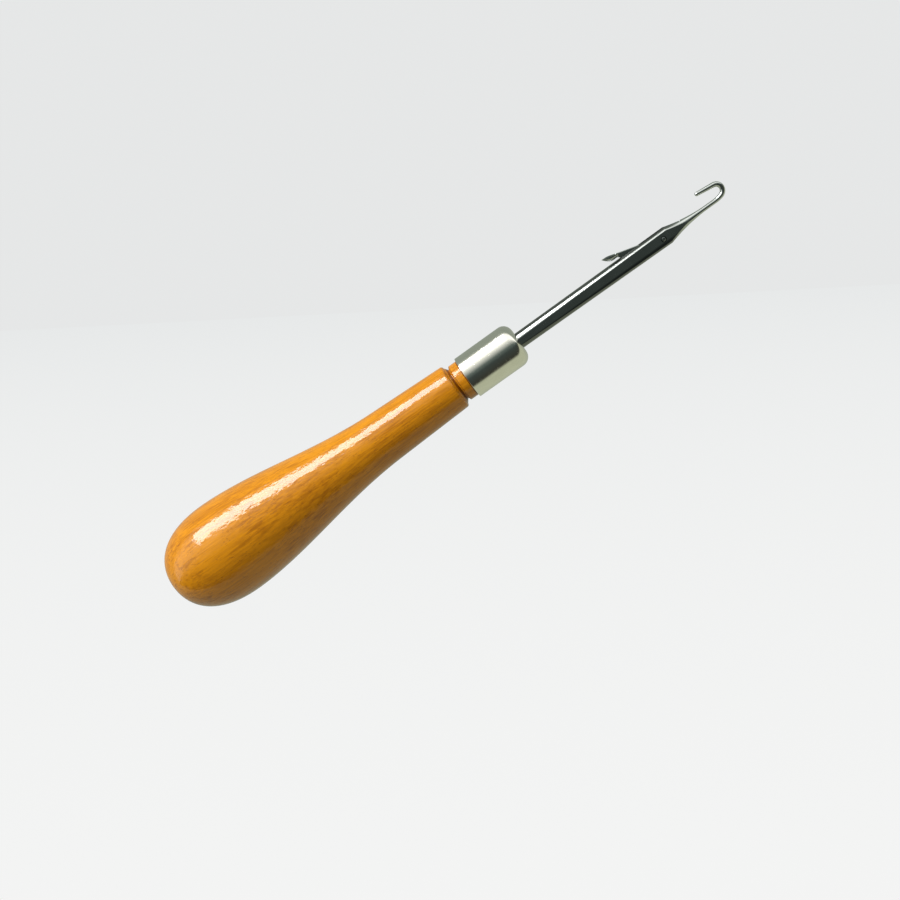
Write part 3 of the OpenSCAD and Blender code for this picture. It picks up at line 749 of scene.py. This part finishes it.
def latch_grid(around=40, across=17):
    """Rings of the blade and spoon: the outer curve, and then back over the top, which sinks into the
    cup. The cup is a circle that narrows to a point in front, with a short flared wall under each rim."""
    spoon_x = np.linspace(SPOON_START, SEAT + SPOON_FRONT - POINT_CUT, 70)
    x = np.concatenate([np.linspace(BLADE_START, BLADE_END, 30), spoon_x])
    out_y, out_z = latch_outside(x, around)
    cup_back = np.clip((SEAT - x) / (SPOON_BACK - END_WALL), 0, 1)
    cup_front = np.clip((x - SEAT) / (SPOON_FRONT - END_WALL), 0, 1)
    shrink = np.where(x < SEAT, np.sqrt(1 - cup_back ** 2), 1 - cup_front ** SPOON_POWER)
    cup = (CUP_R * shrink)[:, None]
    hollow = ease(cup / CUP_BLEND)
    left_y, left_z = out_y[:, -1:], out_z[:, -1:]
    q = np.linspace(-1, 1, across)[1:-1]
    wall = np.abs(q) > WALL_FROM
    bowl_a = -np.pi / 2 + (np.pi / 2) * np.clip(q / WALL_FROM, -1, 1)
    flare = 1 + (np.abs(q) - WALL_FROM) * WALL_FLARE
    cup_y = np.where(wall, np.sign(q) * cup * flare, cup * np.cos(bowl_a))
    cup_z = np.where(wall, left_z - WALL_STEP + 0 * q, SPOON_Z + cup * np.sin(bowl_a))
    in_y = cup_y * hollow - left_y * q * (1 - hollow)
    in_z = cup_z * hollow + (left_z + 0 * q) * (1 - hollow)
    y, z = np.hstack([out_y, in_y]), np.hstack([out_z, in_z])
    return np.stack([np.broadcast_to(x[:, None], y.shape), y, z], axis=-1)


def eye_grid(sides=96):
    """The eye is a washer: an oblong section with cut corners, carried round the pivot."""
    inner, outer, side = EYE_HOLE + EYE_EDGE, EYE_R - EYE_EDGE, BLADE_HALF - EYE_EDGE
    below = np.array([[EYE_HOLE, -side], [inner, -BLADE_HALF], [outer, -BLADE_HALF], [EYE_R, -side]])
    section = np.vstack([below, below[::-1] * [1, -1]])
    a = np.linspace(0, 2 * np.pi, sides, endpoint=False)[:, None]
    r, y = section[:, 0], section[:, 1]
    return np.stack([r * np.cos(a), np.broadcast_to(y, (sides, len(section))), r * np.sin(a)], axis=-1)


def open_latch(grid):
    """Turns the latch's own frame to lie back open: half a turn, then the opening angle about the
    pivot."""
    a = math.radians(OPEN_DEG)
    x, y, z = -grid[..., 0], -grid[..., 1], grid[..., 2]
    back, up = x * math.cos(a) + z * math.sin(a), z * math.cos(a) - x * math.sin(a)
    return np.stack([PIVOT + back, y, up], axis=-1)


blade_and_eye = [skin(open_latch(latch_grid())), skin(open_latch(eye_grid()), loop=True)]
latch = make_piece("latch_spoon", blade_and_eye, "latch", "latch")
latch.data.materials.append(steel)

# %% [markdown]
# ## The rivet
#
# The latch turns on a small rivet. Its ends are closed into both cheeks and polished almost flush. A
# plain pin would vanish against the flat, so each end has a low dome whose edge catches a thin crescent
# of light.

# %% Turn the rivet
RIVET_END = [(0.04, 1.645), (0.12, 1.65), (0.30, 1.65), (0.42, 1.635), (0.50, 1.60), (0.55, 1.56)]
RIVET_SHANK = [(0.40, 1.35), (0.40, 0.5)]


def rivet_grid(sides=96):
    """A pin with two domed ends: radii and places along its own line, mirrored, and turned about that
    line."""
    half = np.array(RIVET_END + RIVET_SHANK)
    outline = np.vstack([half, half[::-1] * [1, -1]])
    a = np.linspace(0, 2 * np.pi, sides, endpoint=False)
    r, y = outline[:, :1], outline[:, 1:]
    wide = np.broadcast_to(y, (len(outline), sides))
    return np.stack([PIVOT + r * np.cos(a), wide, r * np.sin(a)], axis=-1)


rivet = make_piece("rivet", [skin(rivet_grid())], "tool", "latch_rivet")
rivet.data.materials.append(steel)
